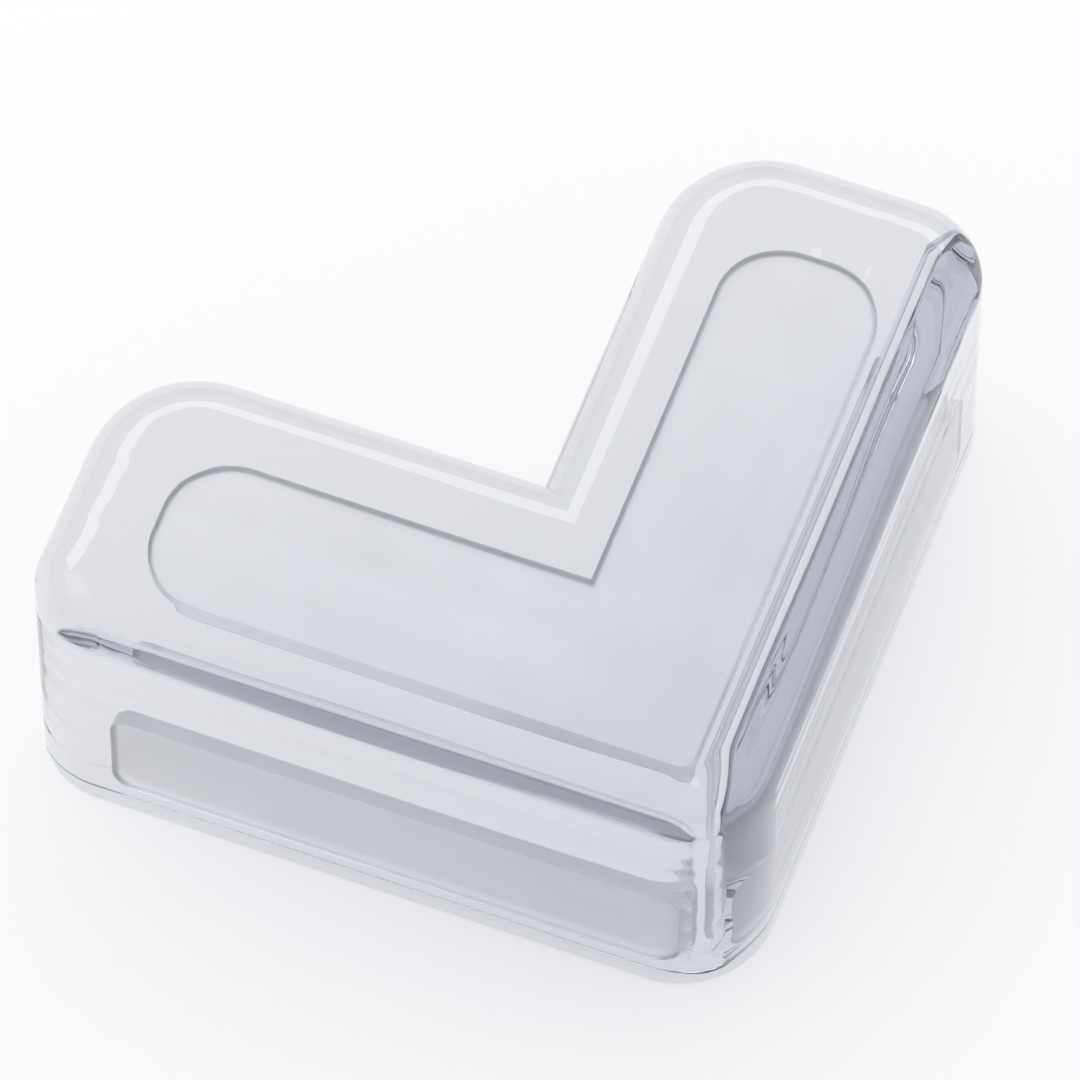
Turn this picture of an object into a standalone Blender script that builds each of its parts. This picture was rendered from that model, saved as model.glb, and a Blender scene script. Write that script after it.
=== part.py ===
# Corner protector for furniture: one clear, soft plastic moulding, with the clear adhesive that holds it.
# An L-shaped plate lies on top of a furniture corner, and a skirt under each outer edge hangs down its sides.
# An adhesive pad covers the plate's underside, and an adhesive strip runs along the inside of each skirt.
# The arms run along +X and +Y. The origin is under the middle of the footprint, on the surface the skirts stand on.

import math

import bmesh
import bpy

# Driving sizes, in metres
ARM_LENGTH = 0.050
ARM_WIDTH = 0.0215
HEIGHT = 0.023
PLATE_THICKNESS = 0.005
SKIRT_THICKNESS = 0.004
TOP_FILLET = 0.0032
EDGE_ROUNDING = 0.0008
OUTER_CORNER_RADIUS = 0.0065
END_OUTER_RADIUS = 0.0055
END_NOTCH_RADIUS = 0.0075
SEAT_CORNER_RADIUS = 0.0011

# The adhesive: how thick it is, how far its edges stay inside the moulding's, and its corners
ADHESIVE_THICKNESS = 0.001
ADHESIVE_END_MARGIN = 0.006
PAD_NOTCH_MARGIN = 0.0052
PAD_CORNER_RADIUS = 0.0012
PAD_END_RADIUS = 0.0045
STRIP_WIDTH = 0.0085
STRIP_FOOT_MARGIN = 0.0005
STRIP_CORNER_RADIUS = 0.0015

# The gap between the adhesive and what it meets
CLEARANCE = 0.0003

# How finely the curves are divided
ARC_STEPS = 8
SEAT_ARC_STEPS = 4
FILLET_STEPS = 8
EDGE_STEPS = 3

# How far the cutter runs past the faces it opens
CUT_MARGIN = 0.005

# How near two heights count as the same, how near two points are merged,
# and how sharp an edge under the plate has to be to get its rounding
FLAT = 1e-6
MERGE = 2e-6
LIP_ANGLE = math.radians(60)


def named_collection(name):
    collection = bpy.data.collections.new(name)
    bpy.context.scene.collection.children.link(collection)
    return collection


def clear_material(name, colour, roughness, refraction):
    material = bpy.data.materials.new(name)
    material.use_nodes = True
    shader = material.node_tree.nodes["Principled BSDF"]
    shader.inputs["Base Color"].default_value = colour
    shader.inputs["Metallic"].default_value = 0
    shader.inputs["Roughness"].default_value = roughness
    shader.inputs["IOR"].default_value = refraction
    shader.inputs["Transmission Weight"].default_value = 1
    return material


def arc(centre_x, centre_y, radius, start_degrees):
    """Points of a quarter turn, counter-clockwise from the start angle."""
    points = []
    for step in range(ARC_STEPS + 1):
        angle = math.radians(start_degrees + 90 * step / ARC_STEPS)
        points.append((centre_x + radius * math.cos(angle), centre_y + radius * math.sin(angle)))
    return points


def l_outline(low, far, notch, corner_radius, end_outer_radius, end_notch_radius):
    """An L seen from above, counter-clockwise from its outer corner. The notch corner is sharp."""
    corner = arc(low + corner_radius, low + corner_radius, corner_radius, 180)
    end = arc(far - end_outer_radius, low + end_outer_radius, end_outer_radius, 270)
    end += arc(far - end_notch_radius, notch - end_notch_radius, end_notch_radius, 0)
    other_end = [(y, x) for x, y in reversed(end)]
    return corner + end + [(notch, notch)] + other_end


def rectangle_outline(left, right, low, high, radius):
    """A rectangle with rounded corners, counter-clockwise from its lower left corner."""
    lower = arc(left + radius, low + radius, radius, 180) + arc(right - radius, low + radius, radius, 270)
    upper = arc(right - radius, high - radius, radius, 0) + arc(left + radius, high - radius, radius, 90)
    return lower + upper


def solid_from_outline(name, outline, height, collection):
    """The outline raised from the ground to the height, as one closed mesh."""
    curve = bpy.data.curves.new(name, "CURVE")
    curve.dimensions = "2D"
    curve.fill_mode = "BOTH"
    curve.extrude = height / 2
    spline = curve.splines.new("POLY")
    spline.points.add(len(outline) - 1)
    for point, (x, y) in zip(spline.points, outline):
        point.co = (x, y, 0, 1)
    spline.use_cyclic_u = True
    flat = bpy.data.objects.new(name, curve)
    flat.location.z = height / 2
    collection.objects.link(flat)
    bpy.context.view_layer.update()
    graph = bpy.context.evaluated_depsgraph_get()
    mesh = bpy.data.meshes.new_from_object(flat.evaluated_get(graph))
    place = flat.matrix_world.copy()
    bpy.data.objects.remove(flat)
    shape = bmesh.new()
    shape.from_mesh(mesh)
    bmesh.ops.remove_doubles(shape, verts=shape.verts, dist=FLAT)
    bmesh.ops.dissolve_limit(shape, angle_limit=math.radians(1), verts=shape.verts, edges=shape.edges)
    bmesh.ops.recalc_face_normals(shape, faces=shape.faces)
    shape.to_mesh(mesh)
    shape.free()
    solid = bpy.data.objects.new(name, mesh)
    solid.matrix_world = place
    collection.objects.link(solid)
    return solid


def furniture_corner(collection):
    """The block of furniture that the guard sits on. The three edges at its corner are eased, which leaves a
    fillet between the plate and the skirts. Its foot flares out in a quarter round, which rounds the inner lip
    of the skirts when the block is cut away."""
    seat_top = HEIGHT - PLATE_THICKNESS
    near = -ARM_LENGTH / 2 + SKIRT_THICKNESS
    far = ARM_LENGTH / 2 + CUT_MARGIN
    middle = (near + far) / 2
    shape = bmesh.new()
    bmesh.ops.create_cube(shape, size=1)
    bmesh.ops.scale(shape, vec=(far - near, far - near, seat_top - EDGE_ROUNDING), verts=shape.verts)
    bmesh.ops.translate(shape, vec=(middle, middle, (seat_top + EDGE_ROUNDING) / 2), verts=shape.verts)
    eased = []
    for edge in shape.edges:
        at_side = all(abs(vert.co.x - near) < FLAT for vert in edge.verts)
        at_front = all(abs(vert.co.y - near) < FLAT for vert in edge.verts)
        at_top = all(abs(vert.co.z - seat_top) < FLAT for vert in edge.verts)
        if at_side + at_front + at_top == 2:
            eased.append(edge)
    bmesh.ops.bevel(
        shape, geom=eased, offset=SEAT_CORNER_RADIUS, offset_type="OFFSET", segments=SEAT_ARC_STEPS,
        profile=0.5, affect="EDGES", material=-1,
    )
    foot = min(shape.faces, key=lambda face: face.calc_center_median().z)
    spread = 0
    height = EDGE_ROUNDING
    for step in range(1, EDGE_STEPS + 2):
        angle = math.radians(90 * min(step, EDGE_STEPS) / EDGE_STEPS)
        next_spread = EDGE_ROUNDING * (1 - math.cos(angle))
        next_height = EDGE_ROUNDING * (1 - math.sin(angle)) if step <= EDGE_STEPS else -CUT_MARGIN
        pulled = bmesh.ops.extrude_face_region(shape, geom=[foot])["geom"]
        bmesh.ops.delete(shape, geom=[foot], context="FACES_ONLY")
        foot = [item for item in pulled if isinstance(item, bmesh.types.BMFace)][0]
        for vert in foot.verts:
            vert.co.z += next_height - height
            vert.co.x -= next_spread - spread if vert.co.x < middle else 0
            vert.co.y -= next_spread - spread if vert.co.y < middle else 0
        spread = next_spread
        height = next_height
    bmesh.ops.recalc_face_normals(shape, faces=shape.faces)
    mesh = bpy.data.meshes.new("furniture_corner")
    shape.to_mesh(mesh)
    shape.free()
    block = bpy.data.objects.new("furniture_corner", mesh)
    block.hide_render = True
    block.display_type = "WIRE"
    collection.objects.link(block)
    return block


def weigh_edges(solid, weight_of):
    """Gives each edge of the solid the bevel weight that the rule says."""
    shape = bmesh.new()
    shape.from_mesh(solid.data)
    weight = shape.edges.layers.float.get("bevel_weight_edge") or shape.edges.layers.float.new("bevel_weight_edge")
    for edge in shape.edges:
        edge[weight] = weight_of(edge)
    shape.to_mesh(solid.data)
    shape.free()


def at_height(edge, height):
    return all(abs(vert.co.z - height) < FLAT for vert in edge.verts)


def add_rounding(solid, name, width, steps):
    bevel = solid.modifiers.new(name, "BEVEL")
    bevel.limit_method = "WEIGHT"
    bevel.offset_type = "OFFSET"
    bevel.width = width
    bevel.segments = steps
    bevel.profile = 0.5
    bevel.use_clamp_overlap = False


def round_outline(solid):
    """A full fillet along the top of the outline, and a small rounding along its foot."""
    def weight_of(edge):
        if at_height(edge, HEIGHT / 2):
            return 1
        return EDGE_ROUNDING / TOP_FILLET if at_height(edge, -HEIGHT / 2) else 0

    weigh_edges(solid, weight_of)
    add_rounding(solid, "outline_fillet", TOP_FILLET, FILLET_STEPS)


def cut_seat(solid, cutter):
    """Takes the furniture block out of the solid for good, so that the edges it leaves can be rounded."""
    boolean = solid.modifiers.new("seat", "BOOLEAN")
    boolean.operation = "DIFFERENCE"
    boolean.solver = "EXACT"
    boolean.object = cutter
    bpy.context.view_layer.update()
    graph = bpy.context.evaluated_depsgraph_get()
    mesh = bpy.data.meshes.new_from_object(solid.evaluated_get(graph))
    shape = bmesh.new()
    shape.from_mesh(mesh)
    bmesh.ops.remove_doubles(shape, verts=shape.verts, dist=MERGE)
    shape.to_mesh(mesh)
    shape.free()
    solid.modifiers.clear()
    solid.data = mesh


def round_plate_lip(solid):
    """A small rounding under the plate's edge, round the arm ends and the notch."""
    lip = HEIGHT / 2 - PLATE_THICKNESS

    def weight_of(edge):
        return 1 if at_height(edge, lip) and edge.is_convex and edge.calc_face_angle(0) > LIP_ANGLE else 0

    weigh_edges(solid, weight_of)
    add_rounding(solid, "lip_rounding", EDGE_ROUNDING, EDGE_STEPS)


def finish(solid, material):
    solid.data.materials.append(material)
    solid.data.shade_smooth()
    solid.data.set_sharp_from_angle(angle=math.radians(35))


def corner_guard(parts, cutters):
    low = -ARM_LENGTH / 2
    outline = l_outline(
        low, ARM_LENGTH / 2, low + ARM_WIDTH, OUTER_CORNER_RADIUS, END_OUTER_RADIUS, END_NOTCH_RADIUS,
    )
    guard = solid_from_outline("corner_guard", outline, HEIGHT, parts)
    round_outline(guard)
    cut_seat(guard, furniture_corner(cutters))
    round_plate_lip(guard)
    finish(guard, clear_material("clear_soft_plastic", (0.86, 0.89, 0.95, 1), 0.06, 1.5))


def plate_adhesive(parts, material):
    """The L-shaped pad under the plate. It starts where the fillets of the skirts end, and its ends are round."""
    low = -ARM_LENGTH / 2 + SKIRT_THICKNESS + SEAT_CORNER_RADIUS + CLEARANCE
    far = ARM_LENGTH / 2 - ADHESIVE_END_MARGIN
    notch = -ARM_LENGTH / 2 + ARM_WIDTH - PAD_NOTCH_MARGIN
    outline = l_outline(low, far, notch, PAD_CORNER_RADIUS, PAD_END_RADIUS, PAD_END_RADIUS)
    pad = solid_from_outline("plate_adhesive_pad", outline, ADHESIVE_THICKNESS, parts)
    pad.location.z = HEIGHT - PLATE_THICKNESS - CLEARANCE - ADHESIVE_THICKNESS / 2
    finish(pad, material)


def skirt_adhesive(name, turn, parts, material):
    """The strip inside one skirt, drawn flat, then stood upright and turned to lie along its arm. The strips of
    the two skirts stop short of each other in the corner."""
    skirt_side = -ARM_LENGTH / 2 + SKIRT_THICKNESS + CLEARANCE
    start = skirt_side + ADHESIVE_THICKNESS + CLEARANCE
    end = ARM_LENGTH / 2 - ADHESIVE_END_MARGIN
    top = STRIP_FOOT_MARGIN + STRIP_WIDTH
    outline = rectangle_outline(start, end, STRIP_FOOT_MARGIN, top, STRIP_CORNER_RADIUS)
    strip = solid_from_outline(name, outline, ADHESIVE_THICKNESS, parts)
    middle = skirt_side + ADHESIVE_THICKNESS / 2
    strip.location = (middle, 0, 0) if turn else (0, middle, 0)
    strip.rotation_euler = (math.radians(90), 0, turn)
    finish(strip, material)


def main():
    for old in list(bpy.data.objects):
        bpy.data.objects.remove(old)
    parts = named_collection("corner_protector")
    corner_guard(parts, named_collection("cutters"))
    adhesive = clear_material("clear_adhesive", (0.9, 0.91, 0.94, 1), 0.12, 1.47)
    plate_adhesive(parts, adhesive)
    skirt_adhesive("skirt_adhesive_strip_x", 0, parts, adhesive)
    skirt_adhesive("skirt_adhesive_strip_y", math.radians(90), parts, adhesive)


main()
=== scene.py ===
import math

import bmesh
import bpy
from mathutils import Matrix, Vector


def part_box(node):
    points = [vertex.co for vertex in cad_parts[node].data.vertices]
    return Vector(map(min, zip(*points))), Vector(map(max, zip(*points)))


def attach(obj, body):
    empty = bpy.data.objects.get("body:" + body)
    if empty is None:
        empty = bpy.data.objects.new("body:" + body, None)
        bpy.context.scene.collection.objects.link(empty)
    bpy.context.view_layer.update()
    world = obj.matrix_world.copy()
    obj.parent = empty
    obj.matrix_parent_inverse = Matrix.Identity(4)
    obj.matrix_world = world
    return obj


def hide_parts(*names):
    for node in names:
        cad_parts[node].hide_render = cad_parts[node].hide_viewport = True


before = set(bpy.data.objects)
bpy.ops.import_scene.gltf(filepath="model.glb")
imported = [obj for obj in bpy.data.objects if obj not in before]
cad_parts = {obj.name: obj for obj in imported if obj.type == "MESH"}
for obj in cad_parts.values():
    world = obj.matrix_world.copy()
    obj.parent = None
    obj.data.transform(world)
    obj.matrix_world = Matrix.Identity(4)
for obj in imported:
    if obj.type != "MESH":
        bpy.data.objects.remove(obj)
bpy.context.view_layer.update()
guardLow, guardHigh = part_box("corner_guard")
print("frame loaded")


# Limits that all the meshes share, in metres and degrees
meshLook = {
    "samePlace": 1e-6,
    "weldDistance": 2e-6,
    "flatAngle": 1,
    "sharpAngle": 35,
    "normalWeight": 100,
}


def allAt(edge, axis, place):
    return all(abs(vert.co[axis] - place) < meshLook["samePlace"] for vert in edge.verts)


def uprightEdges(bm, corners):
    # The upright edges that stand at the given corners of the plan
    found = []
    for edge in bm.edges:
        for x, y in corners:
            if allAt(edge, 0, x) and allAt(edge, 1, y):
                found.append(edge)
    return found


def roundEdges(bm, edges, radius, steps):
    bmesh.ops.bevel(
        bm, geom=edges, offset=radius, offset_type="OFFSET", segments=steps, profile=0.5,
        affect="EDGES", material=-1, clamp_overlap=False,
    )


def meshObject(bm, name):
    mesh = bpy.data.meshes.new(name)
    bm.to_mesh(mesh)
    bm.free()
    made = bpy.data.objects.new(name, mesh)
    bpy.context.scene.collection.objects.link(made)
    return made


def smoothFaces(made):
    made.data.shade_smooth()
    made.data.set_sharp_from_angle(angle=math.radians(meshLook["sharpAngle"]))
    weighted = made.modifiers.new("flatNormals", "WEIGHTED_NORMAL")
    weighted.keep_sharp = True
    weighted.weight = meshLook["normalWeight"]


def makeBlankL(low, high, width, bottom, top):
    # A square at the outer corner, two arms pulled out of it, then the L raised to its height
    notch = low + width
    bm = bmesh.new()
    bmesh.ops.create_grid(bm, x_segments=1, y_segments=1, size=width / 2)
    bmesh.ops.translate(bm, vec=(low + width / 2, low + width / 2, bottom), verts=bm.verts)
    for edge in [edge for edge in bm.edges if allAt(edge, 0, notch) or allAt(edge, 1, notch)]:
        pull = Vector((high - notch, 0, 0)) if allAt(edge, 0, notch) else Vector((0, high - notch, 0))
        pulled = bmesh.ops.extrude_edge_only(bm, edges=[edge])["geom"]
        bmesh.ops.translate(bm, vec=pull, verts=[item for item in pulled if isinstance(item, bmesh.types.BMVert)])
    raised = bmesh.ops.extrude_face_region(bm, geom=bm.faces[:])["geom"]
    lift = Vector((0, 0, top - bottom))
    bmesh.ops.translate(bm, vec=lift, verts=[item for item in raised if isinstance(item, bmesh.types.BMVert)])
    bmesh.ops.recalc_face_normals(bm, faces=bm.faces)
    flatAngle = math.radians(meshLook["flatAngle"])
    bmesh.ops.dissolve_limit(bm, angle_limit=flatAngle, verts=bm.verts, edges=bm.edges)
    return bm


# The moulded guard, sizes in metres. Length and height come from the frame.
guardLook = {
    "armWidth": 0.0215,
    "plateThickness": 0.005,
    "skirtThickness": 0.004,
    "topRounding": 0.0036,
    "topSteps": 20,
    "outerCornerRadius": 0.0065,
    "endOuterRadius": 0.0055,
    "endNotchRadius": 0.0075,
    "cornerSteps": 20,
    "footRounding": 0.0008,
    "lipRounding": 0.0013,
    "lipAngle": 60,  # edges under the plate that turn more than this, in degrees, are the lip
    "smallSteps": 5,
    "seatRadius": 0.0011,
    "seatSteps": 6,
    "seatReach": 0.005,  # how far the furniture block runs past the arm ends and below the foot
}


def makeSeatBlock(look):
    # The corner of furniture that the guard sits on, with the foot flared so that the skirts get a rounded lip
    near = guardLow.x + look["skirtThickness"]
    far = guardHigh.x + look["seatReach"]
    top = guardHigh.z - look["plateThickness"]
    radius = look["footRounding"]
    middle = (near + far) / 2
    bm = bmesh.new()
    bmesh.ops.create_cube(bm, size=1)
    bmesh.ops.scale(bm, vec=(far - near, far - near, top - radius), verts=bm.verts)
    bmesh.ops.translate(bm, vec=(middle, middle, (top + radius) / 2), verts=bm.verts)

    # Its three edges between the plate's underside and the skirts' inner faces
    seatEdges = [
        edge for edge in bm.edges
        if allAt(edge, 0, near) + allAt(edge, 1, near) + allAt(edge, 2, top) == 2
    ]
    roundEdges(bm, seatEdges, look["seatRadius"], look["seatSteps"])

    # The foot spreads in a quarter round, and its last step drops straight down
    foot = min(bm.faces, key=lambda face: face.calc_center_median().z)
    spread = 0
    height = radius
    for step in range(1, look["smallSteps"] + 2):
        turn = math.radians(90 * min(step / look["smallSteps"], 1))
        newSpread = radius * (1 - math.cos(turn))
        newHeight = radius * (1 - math.sin(turn)) if step <= look["smallSteps"] else -look["seatReach"]
        pulled = bmesh.ops.extrude_face_region(bm, geom=[foot])["geom"]
        bmesh.ops.delete(bm, geom=[foot], context="FACES_ONLY")
        foot = [item for item in pulled if isinstance(item, bmesh.types.BMFace)][0]
        for vert in foot.verts:
            outward = Vector((vert.co.x < middle, vert.co.y < middle, 0)) * (spread - newSpread)
            vert.co += outward + Vector((0, 0, newHeight - height))
        spread = newSpread
        height = newHeight
    bmesh.ops.recalc_face_normals(bm, faces=bm.faces)
    return meshObject(bm, "seatBlock")


def makeGuard(look):
    low = guardLow.x
    high = guardHigh.x
    notch = low + look["armWidth"]
    steps = look["cornerSteps"]
    bm = makeBlankL(low, high, look["armWidth"], guardLow.z, guardHigh.z)
    roundEdges(bm, uprightEdges(bm, [(low, low)]), look["outerCornerRadius"], steps)
    roundEdges(bm, uprightEdges(bm, [(high, low), (low, high)]), look["endOuterRadius"], steps)
    roundEdges(bm, uprightEdges(bm, [(high, notch), (notch, high)]), look["endNotchRadius"], steps)
    topEdges = [edge for edge in bm.edges if allAt(edge, 2, guardHigh.z)]
    roundEdges(bm, topEdges, look["topRounding"], look["topSteps"])
    footEdges = [edge for edge in bm.edges if allAt(edge, 2, guardLow.z)]
    roundEdges(bm, footEdges, look["footRounding"], look["smallSteps"])
    guard = meshObject(bm, "clearCornerGuard")

    # The furniture block is cut out, then the lip that this leaves under the plate is rounded
    block = makeSeatBlock(look)
    cut = guard.modifiers.new("seat", "BOOLEAN")
    cut.operation = "DIFFERENCE"
    cut.solver = "EXACT"
    cut.object = block
    bpy.context.view_layer.update()
    graph = bpy.context.evaluated_depsgraph_get()
    cutMesh = bpy.data.meshes.new_from_object(guard.evaluated_get(graph))
    bpy.data.objects.remove(guard)
    bpy.data.objects.remove(block)
    bm = bmesh.new()
    bm.from_mesh(cutMesh)
    bmesh.ops.remove_doubles(bm, verts=bm.verts, dist=meshLook["weldDistance"])
    lip = guardHigh.z - look["plateThickness"]
    lipEdges = [
        edge for edge in bm.edges
        if allAt(edge, 2, lip) and edge.is_convex and edge.calc_face_angle(0) > math.radians(look["lipAngle"])
    ]
    roundEdges(bm, lipEdges, look["lipRounding"], look["smallSteps"])
    guard = meshObject(bm, "clearCornerGuard")
    smoothFaces(guard)
    return guard


# The clear adhesive is an L-shaped pad under the plate and a strip inside each skirt.
# Their places come from the frame. Each reaches on past its solid's gap, until it wets the moulding.
padLook = {
    "width": 0.0109,
    "cornerRadius": 0.0012,
    "endRadius": 0.0045,
    "cornerSteps": 12,
    "edgeRounding": 0.0006,
    "edgeSteps": 6,
    "reach": 0.00031,
}


def makePad(look):
    low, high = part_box("plate_adhesive_pad")
    notch = low.x + look["width"]
    bm = makeBlankL(low.x, high.x, look["width"], low.z, high.z + look["reach"])
    ends = [(high.x, low.x), (low.x, high.x), (high.x, notch), (notch, high.x)]
    roundEdges(bm, uprightEdges(bm, [(low.x, low.x)]), look["cornerRadius"], look["cornerSteps"])
    roundEdges(bm, uprightEdges(bm, ends), look["endRadius"], look["cornerSteps"])
    freeEdges = [edge for edge in bm.edges if allAt(edge, 2, low.z)]
    roundEdges(bm, freeEdges, look["edgeRounding"], look["edgeSteps"])
    pad = meshObject(bm, "plateAdhesive")
    smoothFaces(pad)
    return pad


stripLook = {
    "cornerRadius": 0.0015,
    "cornerSteps": 12,
    "edgeRounding": 0.0006,
    "edgeSteps": 6,
    "reach": 0.00031,
}


def makeStrip(look, node, name, thin):
    # The thin axis is the one across the strip: 0 for X, 1 for Y
    boxLow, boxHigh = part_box(node)
    low = boxLow.copy()
    high = boxHigh.copy()
    low[thin] -= look["reach"]
    bm = bmesh.new()
    bmesh.ops.create_cube(bm, size=1)
    bmesh.ops.scale(bm, vec=high - low, verts=bm.verts)
    bmesh.ops.translate(bm, vec=(low + high) / 2, verts=bm.verts)
    across = [edge for edge in bm.edges if not allAt(edge, thin, edge.verts[0].co[thin])]
    roundEdges(bm, across, look["cornerRadius"], look["cornerSteps"])
    freeEdges = [edge for edge in bm.edges if allAt(edge, thin, high[thin])]
    roundEdges(bm, freeEdges, look["edgeRounding"], look["edgeSteps"])
    strip = meshObject(bm, name)
    smoothFaces(strip)
    return strip


# Clear soft plastic and clear adhesive. Their colour deepens with thickness, and their shadow is as pale
# as shadowColour makes it.
plasticLook = {
    "refraction": 1.5,
    "roughness": 0.0,
    "surfaceColour": (0.84, 0.85, 0.87, 1),
    "depthColour": (0.48, 0.51, 0.66, 1),
    "depthDensity": 28,
    "shadowColour": (0.93, 0.935, 0.945, 1),
    # faint flow ripples of the moulding: how many in a metre along and across an arm, and their height in metres
    "rippleAlong": 25,
    "rippleAcross": 330,
    "rippleHeight": 0.00011,
    "rippleDetail": 1,
    "rippleBlend": 0.004,  # half the width, in metres, over which the two arms' ripples blend at the corner
}
gelLook = {
    "refraction": 1.47,
    "roughness": 0.4,
    "surfaceColour": (0.985, 0.985, 0.985, 1),
    "depthColour": (0.50, 0.50, 0.52, 1),
    "depthDensity": 12,
    "shadowColour": (0.97, 0.97, 0.975, 1),
    # faint clouds: the share by which the surface colour varies, and how many there are in a metre
    "clouding": 0.04,
    "cloudScale": 140,
    "cloudDetail": 2,
    "cloudFrom": 0.3,
    "cloudTo": 0.7,
}


def anyRay(nodes, links, kinds):
    # One for the named kinds of ray and zero for all others
    lightPath = nodes.new("ShaderNodeLightPath")
    found = lightPath.outputs[kinds[0]]
    for kind in kinds[1:]:
        either = nodes.new("ShaderNodeMath")
        either.operation = "MAXIMUM"
        links.new(found, either.inputs[0])
        links.new(lightPath.outputs[kind], either.inputs[1])
        found = either.outputs[0]
    return found


def addRipples(nodes, links, look):
    # One noise drawn out along X for the arm along X, one along Y for the other, blended at the corner
    place = nodes.new("ShaderNodeTexCoord").outputs["Object"]
    along = look["rippleAlong"]
    across = look["rippleAcross"]
    waves = []
    for scale in ((along, across, across), (across, along, across)):
        stretch = nodes.new("ShaderNodeMapping")
        stretch.inputs["Scale"].default_value = scale
        noise = nodes.new("ShaderNodeTexNoise")
        noise.inputs["Scale"].default_value = 1
        noise.inputs["Detail"].default_value = look["rippleDetail"]
        links.new(place, stretch.inputs["Vector"])
        links.new(stretch.outputs[0], noise.inputs["Vector"])
        waves.append(noise.outputs["Fac"])
    split = nodes.new("ShaderNodeSeparateXYZ")
    side = nodes.new("ShaderNodeMath")
    side.operation = "SUBTRACT"
    spread = nodes.new("ShaderNodeMapRange")
    spread.interpolation_type = "SMOOTHSTEP"
    spread.inputs["From Min"].default_value = -look["rippleBlend"]
    spread.inputs["From Max"].default_value = look["rippleBlend"]
    blend = nodes.new("ShaderNodeMix")
    bump = nodes.new("ShaderNodeBump")
    bump.inputs["Strength"].default_value = 1
    bump.inputs["Distance"].default_value = look["rippleHeight"]
    links.new(place, split.inputs[0])
    links.new(split.outputs["X"], side.inputs[0])
    links.new(split.outputs["Y"], side.inputs[1])
    links.new(side.outputs[0], spread.inputs["Value"])
    links.new(spread.outputs[0], blend.inputs["Factor"])
    links.new(waves[1], blend.inputs["A"])
    links.new(waves[0], blend.inputs["B"])
    links.new(blend.outputs["Result"], bump.inputs["Height"])
    return bump.outputs["Normal"]


def addClouds(nodes, links, look):
    # Faint clouds in the surface colour, as pressed adhesive has
    place = nodes.new("ShaderNodeTexCoord").outputs["Object"]
    noise = nodes.new("ShaderNodeTexNoise")
    noise.inputs["Scale"].default_value = look["cloudScale"]
    noise.inputs["Detail"].default_value = look["cloudDetail"]
    colour = Vector(look["surfaceColour"][:3])
    darker = colour * (1 - look["clouding"])
    lighter = colour * (1 + look["clouding"])
    ramp = nodes.new("ShaderNodeValToRGB")
    ends = ramp.color_ramp.elements
    ends[0].position = look["cloudFrom"]
    ends[1].position = look["cloudTo"]
    ends[0].color = (*darker, 1)
    ends[1].color = (*(min(value, 1) for value in lighter), 1)
    links.new(place, noise.inputs["Vector"])
    links.new(noise.outputs["Fac"], ramp.inputs[0])
    return ramp.outputs[0]


def makeClear(name, look):
    material = bpy.data.materials.new(name)
    material.use_nodes = True
    nodes = material.node_tree.nodes
    links = material.node_tree.links
    shader = nodes["Principled BSDF"]
    shader.inputs["Base Color"].default_value = look["surfaceColour"]
    shader.inputs["Roughness"].default_value = look["roughness"]
    shader.inputs["IOR"].default_value = look["refraction"]
    shader.inputs["Transmission Weight"].default_value = 1
    if "rippleHeight" in look:
        links.new(addRipples(nodes, links, look), shader.inputs["Normal"])
    if "clouding" in look:
        links.new(addClouds(nodes, links, look), shader.inputs["Base Color"])

    # Shadow and diffuse rays go straight through, so that the floor is lit through the piece
    passing = nodes.new("ShaderNodeBsdfTransparent")
    passing.inputs["Color"].default_value = look["shadowColour"]
    mix = nodes.new("ShaderNodeMixShader")
    depth = nodes.new("ShaderNodeVolumeAbsorption")
    depth.inputs["Color"].default_value = look["depthColour"]
    depth.inputs["Density"].default_value = look["depthDensity"]
    output = nodes["Material Output"]
    links.new(anyRay(nodes, links, ("Is Shadow Ray", "Is Diffuse Ray")), mix.inputs[0])
    links.new(shader.outputs[0], mix.inputs[1])
    links.new(passing.outputs[0], mix.inputs[2])
    links.new(mix.outputs[0], output.inputs["Surface"])
    links.new(depth.outputs[0], output.inputs["Volume"])
    return material


def dress(piece, node, material):
    piece.data.materials.append(material)
    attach(piece, "root")
    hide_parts(node)
    print(piece.name, "made:", len(piece.data.polygons), "faces")


plastic = makeClear("clearSoftPlastic", plasticLook)
gel = makeClear("clearAdhesive", gelLook)
dress(makeGuard(guardLook), "corner_guard", plastic)
dress(makePad(padLook), "plate_adhesive_pad", gel)
alongX = makeStrip(stripLook, "skirt_adhesive_strip_x", "skirtAdhesiveAlongX", 1)
dress(alongX, "skirt_adhesive_strip_x", gel)
alongY = makeStrip(stripLook, "skirt_adhesive_strip_y", "skirtAdhesiveAlongY", 0)
dress(alongY, "skirt_adhesive_strip_y", gel)


stageLook = {
    "floorSize": 6.0,
    "floorColour": (0.95, 0.95, 0.955, 1),
    "floorRoughness": 0.7,
    "floorLift": 0.35,  # share of plain white in what the camera, glass and gloss see of the floor
    "horizonColour": (0.46, 0.47, 0.49, 1),
    "skyColour": (0.82, 0.82, 0.82, 1),
    "skyFrom": 0.05,
    "skyTo": 0.55,
    "skyStrength": 1.0,
    # place (right, away, up) as the camera sees it, width, depth, power in watts
    "lamps": {
        "leftSoftbox": ((-0.45, 0.05, 0.55), 0.35, 0.35, 0.3),
        "farSoftbox": ((-0.08, 0.44, 0.52), 1.0, 0.20, 1.6),
    },
    "cameraAzimuth": -69.5,
    "cameraElevation": 60,
    "cameraDistance": 0.85,
    "cameraLens": 435,
    "cameraAim": (-0.0015, -0.0025, 0.0095),
    "cameraNear": 0.01,
    "bounces": 14,
}


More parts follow.
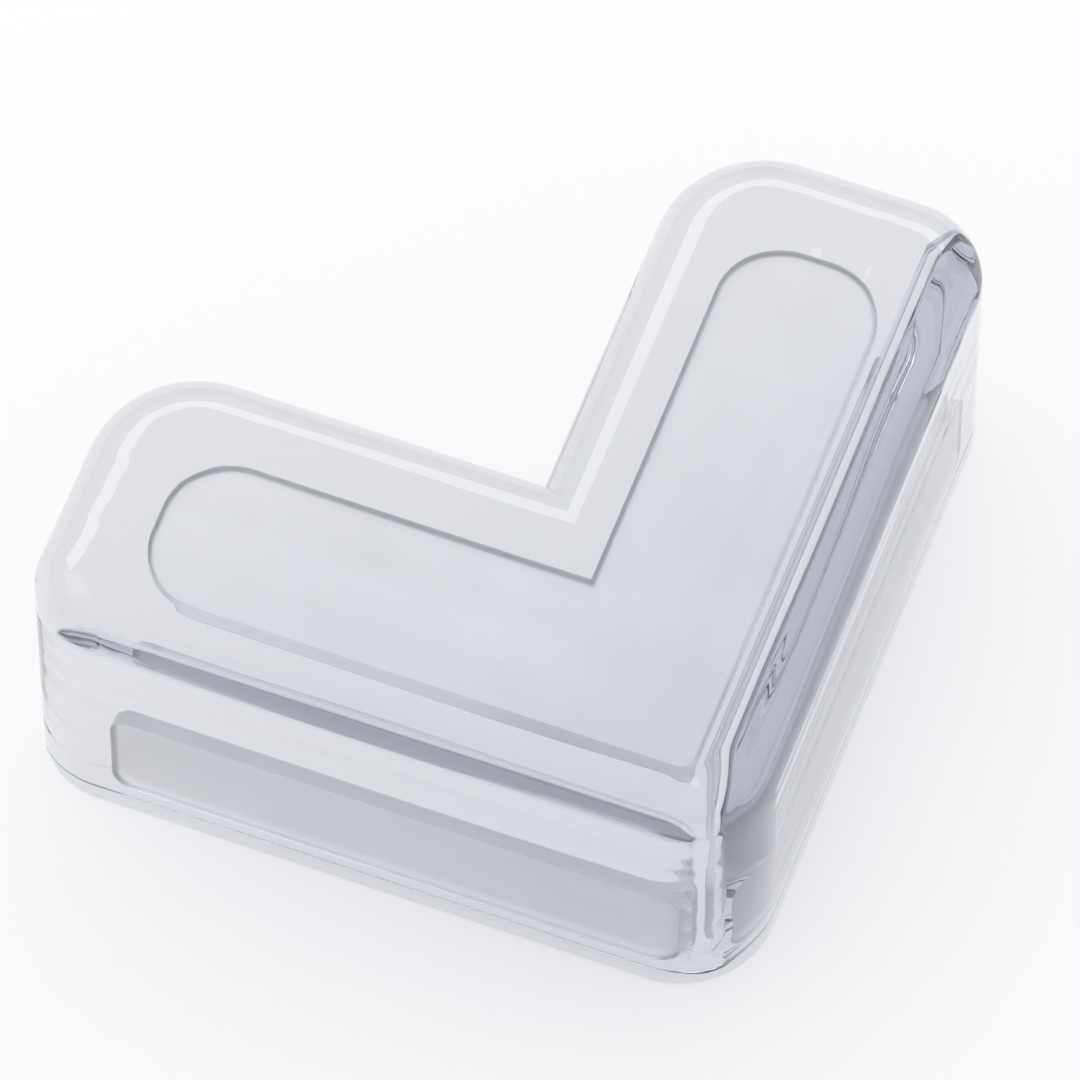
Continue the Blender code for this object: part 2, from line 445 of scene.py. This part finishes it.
def makeFloor(look):
    bm = bmesh.new()
    bmesh.ops.create_grid(bm, x_segments=1, y_segments=1, size=look["floorSize"] / 2)
    bmesh.ops.translate(bm, vec=(0, 0, guardLow.z), verts=bm.verts)
    floor = meshObject(bm, "studioFloor")
    material = bpy.data.materials.new("paleFloor")
    material.use_nodes = True
    nodes = material.node_tree.nodes
    links = material.node_tree.links
    shader = nodes["Principled BSDF"]
    shader.inputs["Base Color"].default_value = look["floorColour"]
    shader.inputs["Roughness"].default_value = look["floorRoughness"]
    shader.inputs["Specular IOR Level"].default_value = 0
    white = nodes.new("ShaderNodeEmission")
    share = nodes.new("ShaderNodeMath")
    share.operation = "MULTIPLY"
    share.inputs[1].default_value = look["floorLift"]
    mix = nodes.new("ShaderNodeMixShader")
    seen = anyRay(nodes, links, ("Is Camera Ray", "Is Glossy Ray", "Is Transmission Ray"))
    links.new(seen, share.inputs[0])
    links.new(share.outputs[0], mix.inputs[0])
    links.new(shader.outputs[0], mix.inputs[1])
    links.new(white.outputs[0], mix.inputs[2])
    links.new(mix.outputs[0], nodes["Material Output"].inputs["Surface"])
    floor.data.materials.append(material)


def makeSky(look):
    world = bpy.data.worlds.new("studioWorld")
    bpy.context.scene.world = world
    world.use_nodes = True
    nodes = world.node_tree.nodes
    links = world.node_tree.links
    background = nodes["Background"]
    background.inputs["Strength"].default_value = look["skyStrength"]
    place = nodes.new("ShaderNodeTexCoord")
    split = nodes.new("ShaderNodeSeparateXYZ")
    ramp = nodes.new("ShaderNodeValToRGB")
    ends = ramp.color_ramp.elements
    ends[0].position = look["skyFrom"]
    ends[0].color = look["horizonColour"]
    ends[1].position = look["skyTo"]
    ends[1].color = look["skyColour"]
    links.new(place.outputs["Generated"], split.inputs[0])
    links.new(split.outputs["Z"], ramp.inputs[0])
    links.new(ramp.outputs[0], background.inputs["Color"])


def makeLamps(look):
    turn = math.radians(look["cameraAzimuth"])
    right = Vector((math.cos(turn), math.sin(turn), 0))
    away = Vector((-math.sin(turn), math.cos(turn), 0))
    for name, (place, width, depth, power) in look["lamps"].items():
        lamp = bpy.data.lights.new(name, "AREA")
        lamp.shape = "RECTANGLE"
        lamp.size = width
        lamp.size_y = depth
        lamp.energy = power
        holder = bpy.data.objects.new(name, lamp)
        holder.location = right * place[0] + away * place[1] + Vector((0, 0, place[2]))
        holder.rotation_euler = (-holder.location).to_track_quat("-Z", "Y").to_euler()
        bpy.context.scene.collection.objects.link(holder)


def makeCamera(look):
    turn = math.radians(look["cameraAzimuth"])
    tilt = math.radians(look["cameraElevation"])
    back = Vector((math.sin(turn) * math.cos(tilt), -math.cos(turn) * math.cos(tilt), math.sin(tilt)))
    camera = bpy.data.cameras.new("camera")
    camera.lens = look["cameraLens"]
    camera.clip_start = look["cameraNear"]
    holder = bpy.data.objects.new("camera", camera)
    holder.location = Vector(look["cameraAim"]) + back * look["cameraDistance"]
    holder.rotation_euler = back.to_track_quat("Z", "Y").to_euler()
    bpy.context.scene.collection.objects.link(holder)
    bpy.context.scene.camera = holder


makeFloor(stageLook)
makeSky(stageLook)
makeLamps(stageLook)
makeCamera(stageLook)
bpy.context.scene.view_settings.view_transform = "Standard"
bpy.context.scene.cycles.max_bounces = stageLook["bounces"]
bpy.context.scene.cycles.transmission_bounces = stageLook["bounces"]
print("stage made")
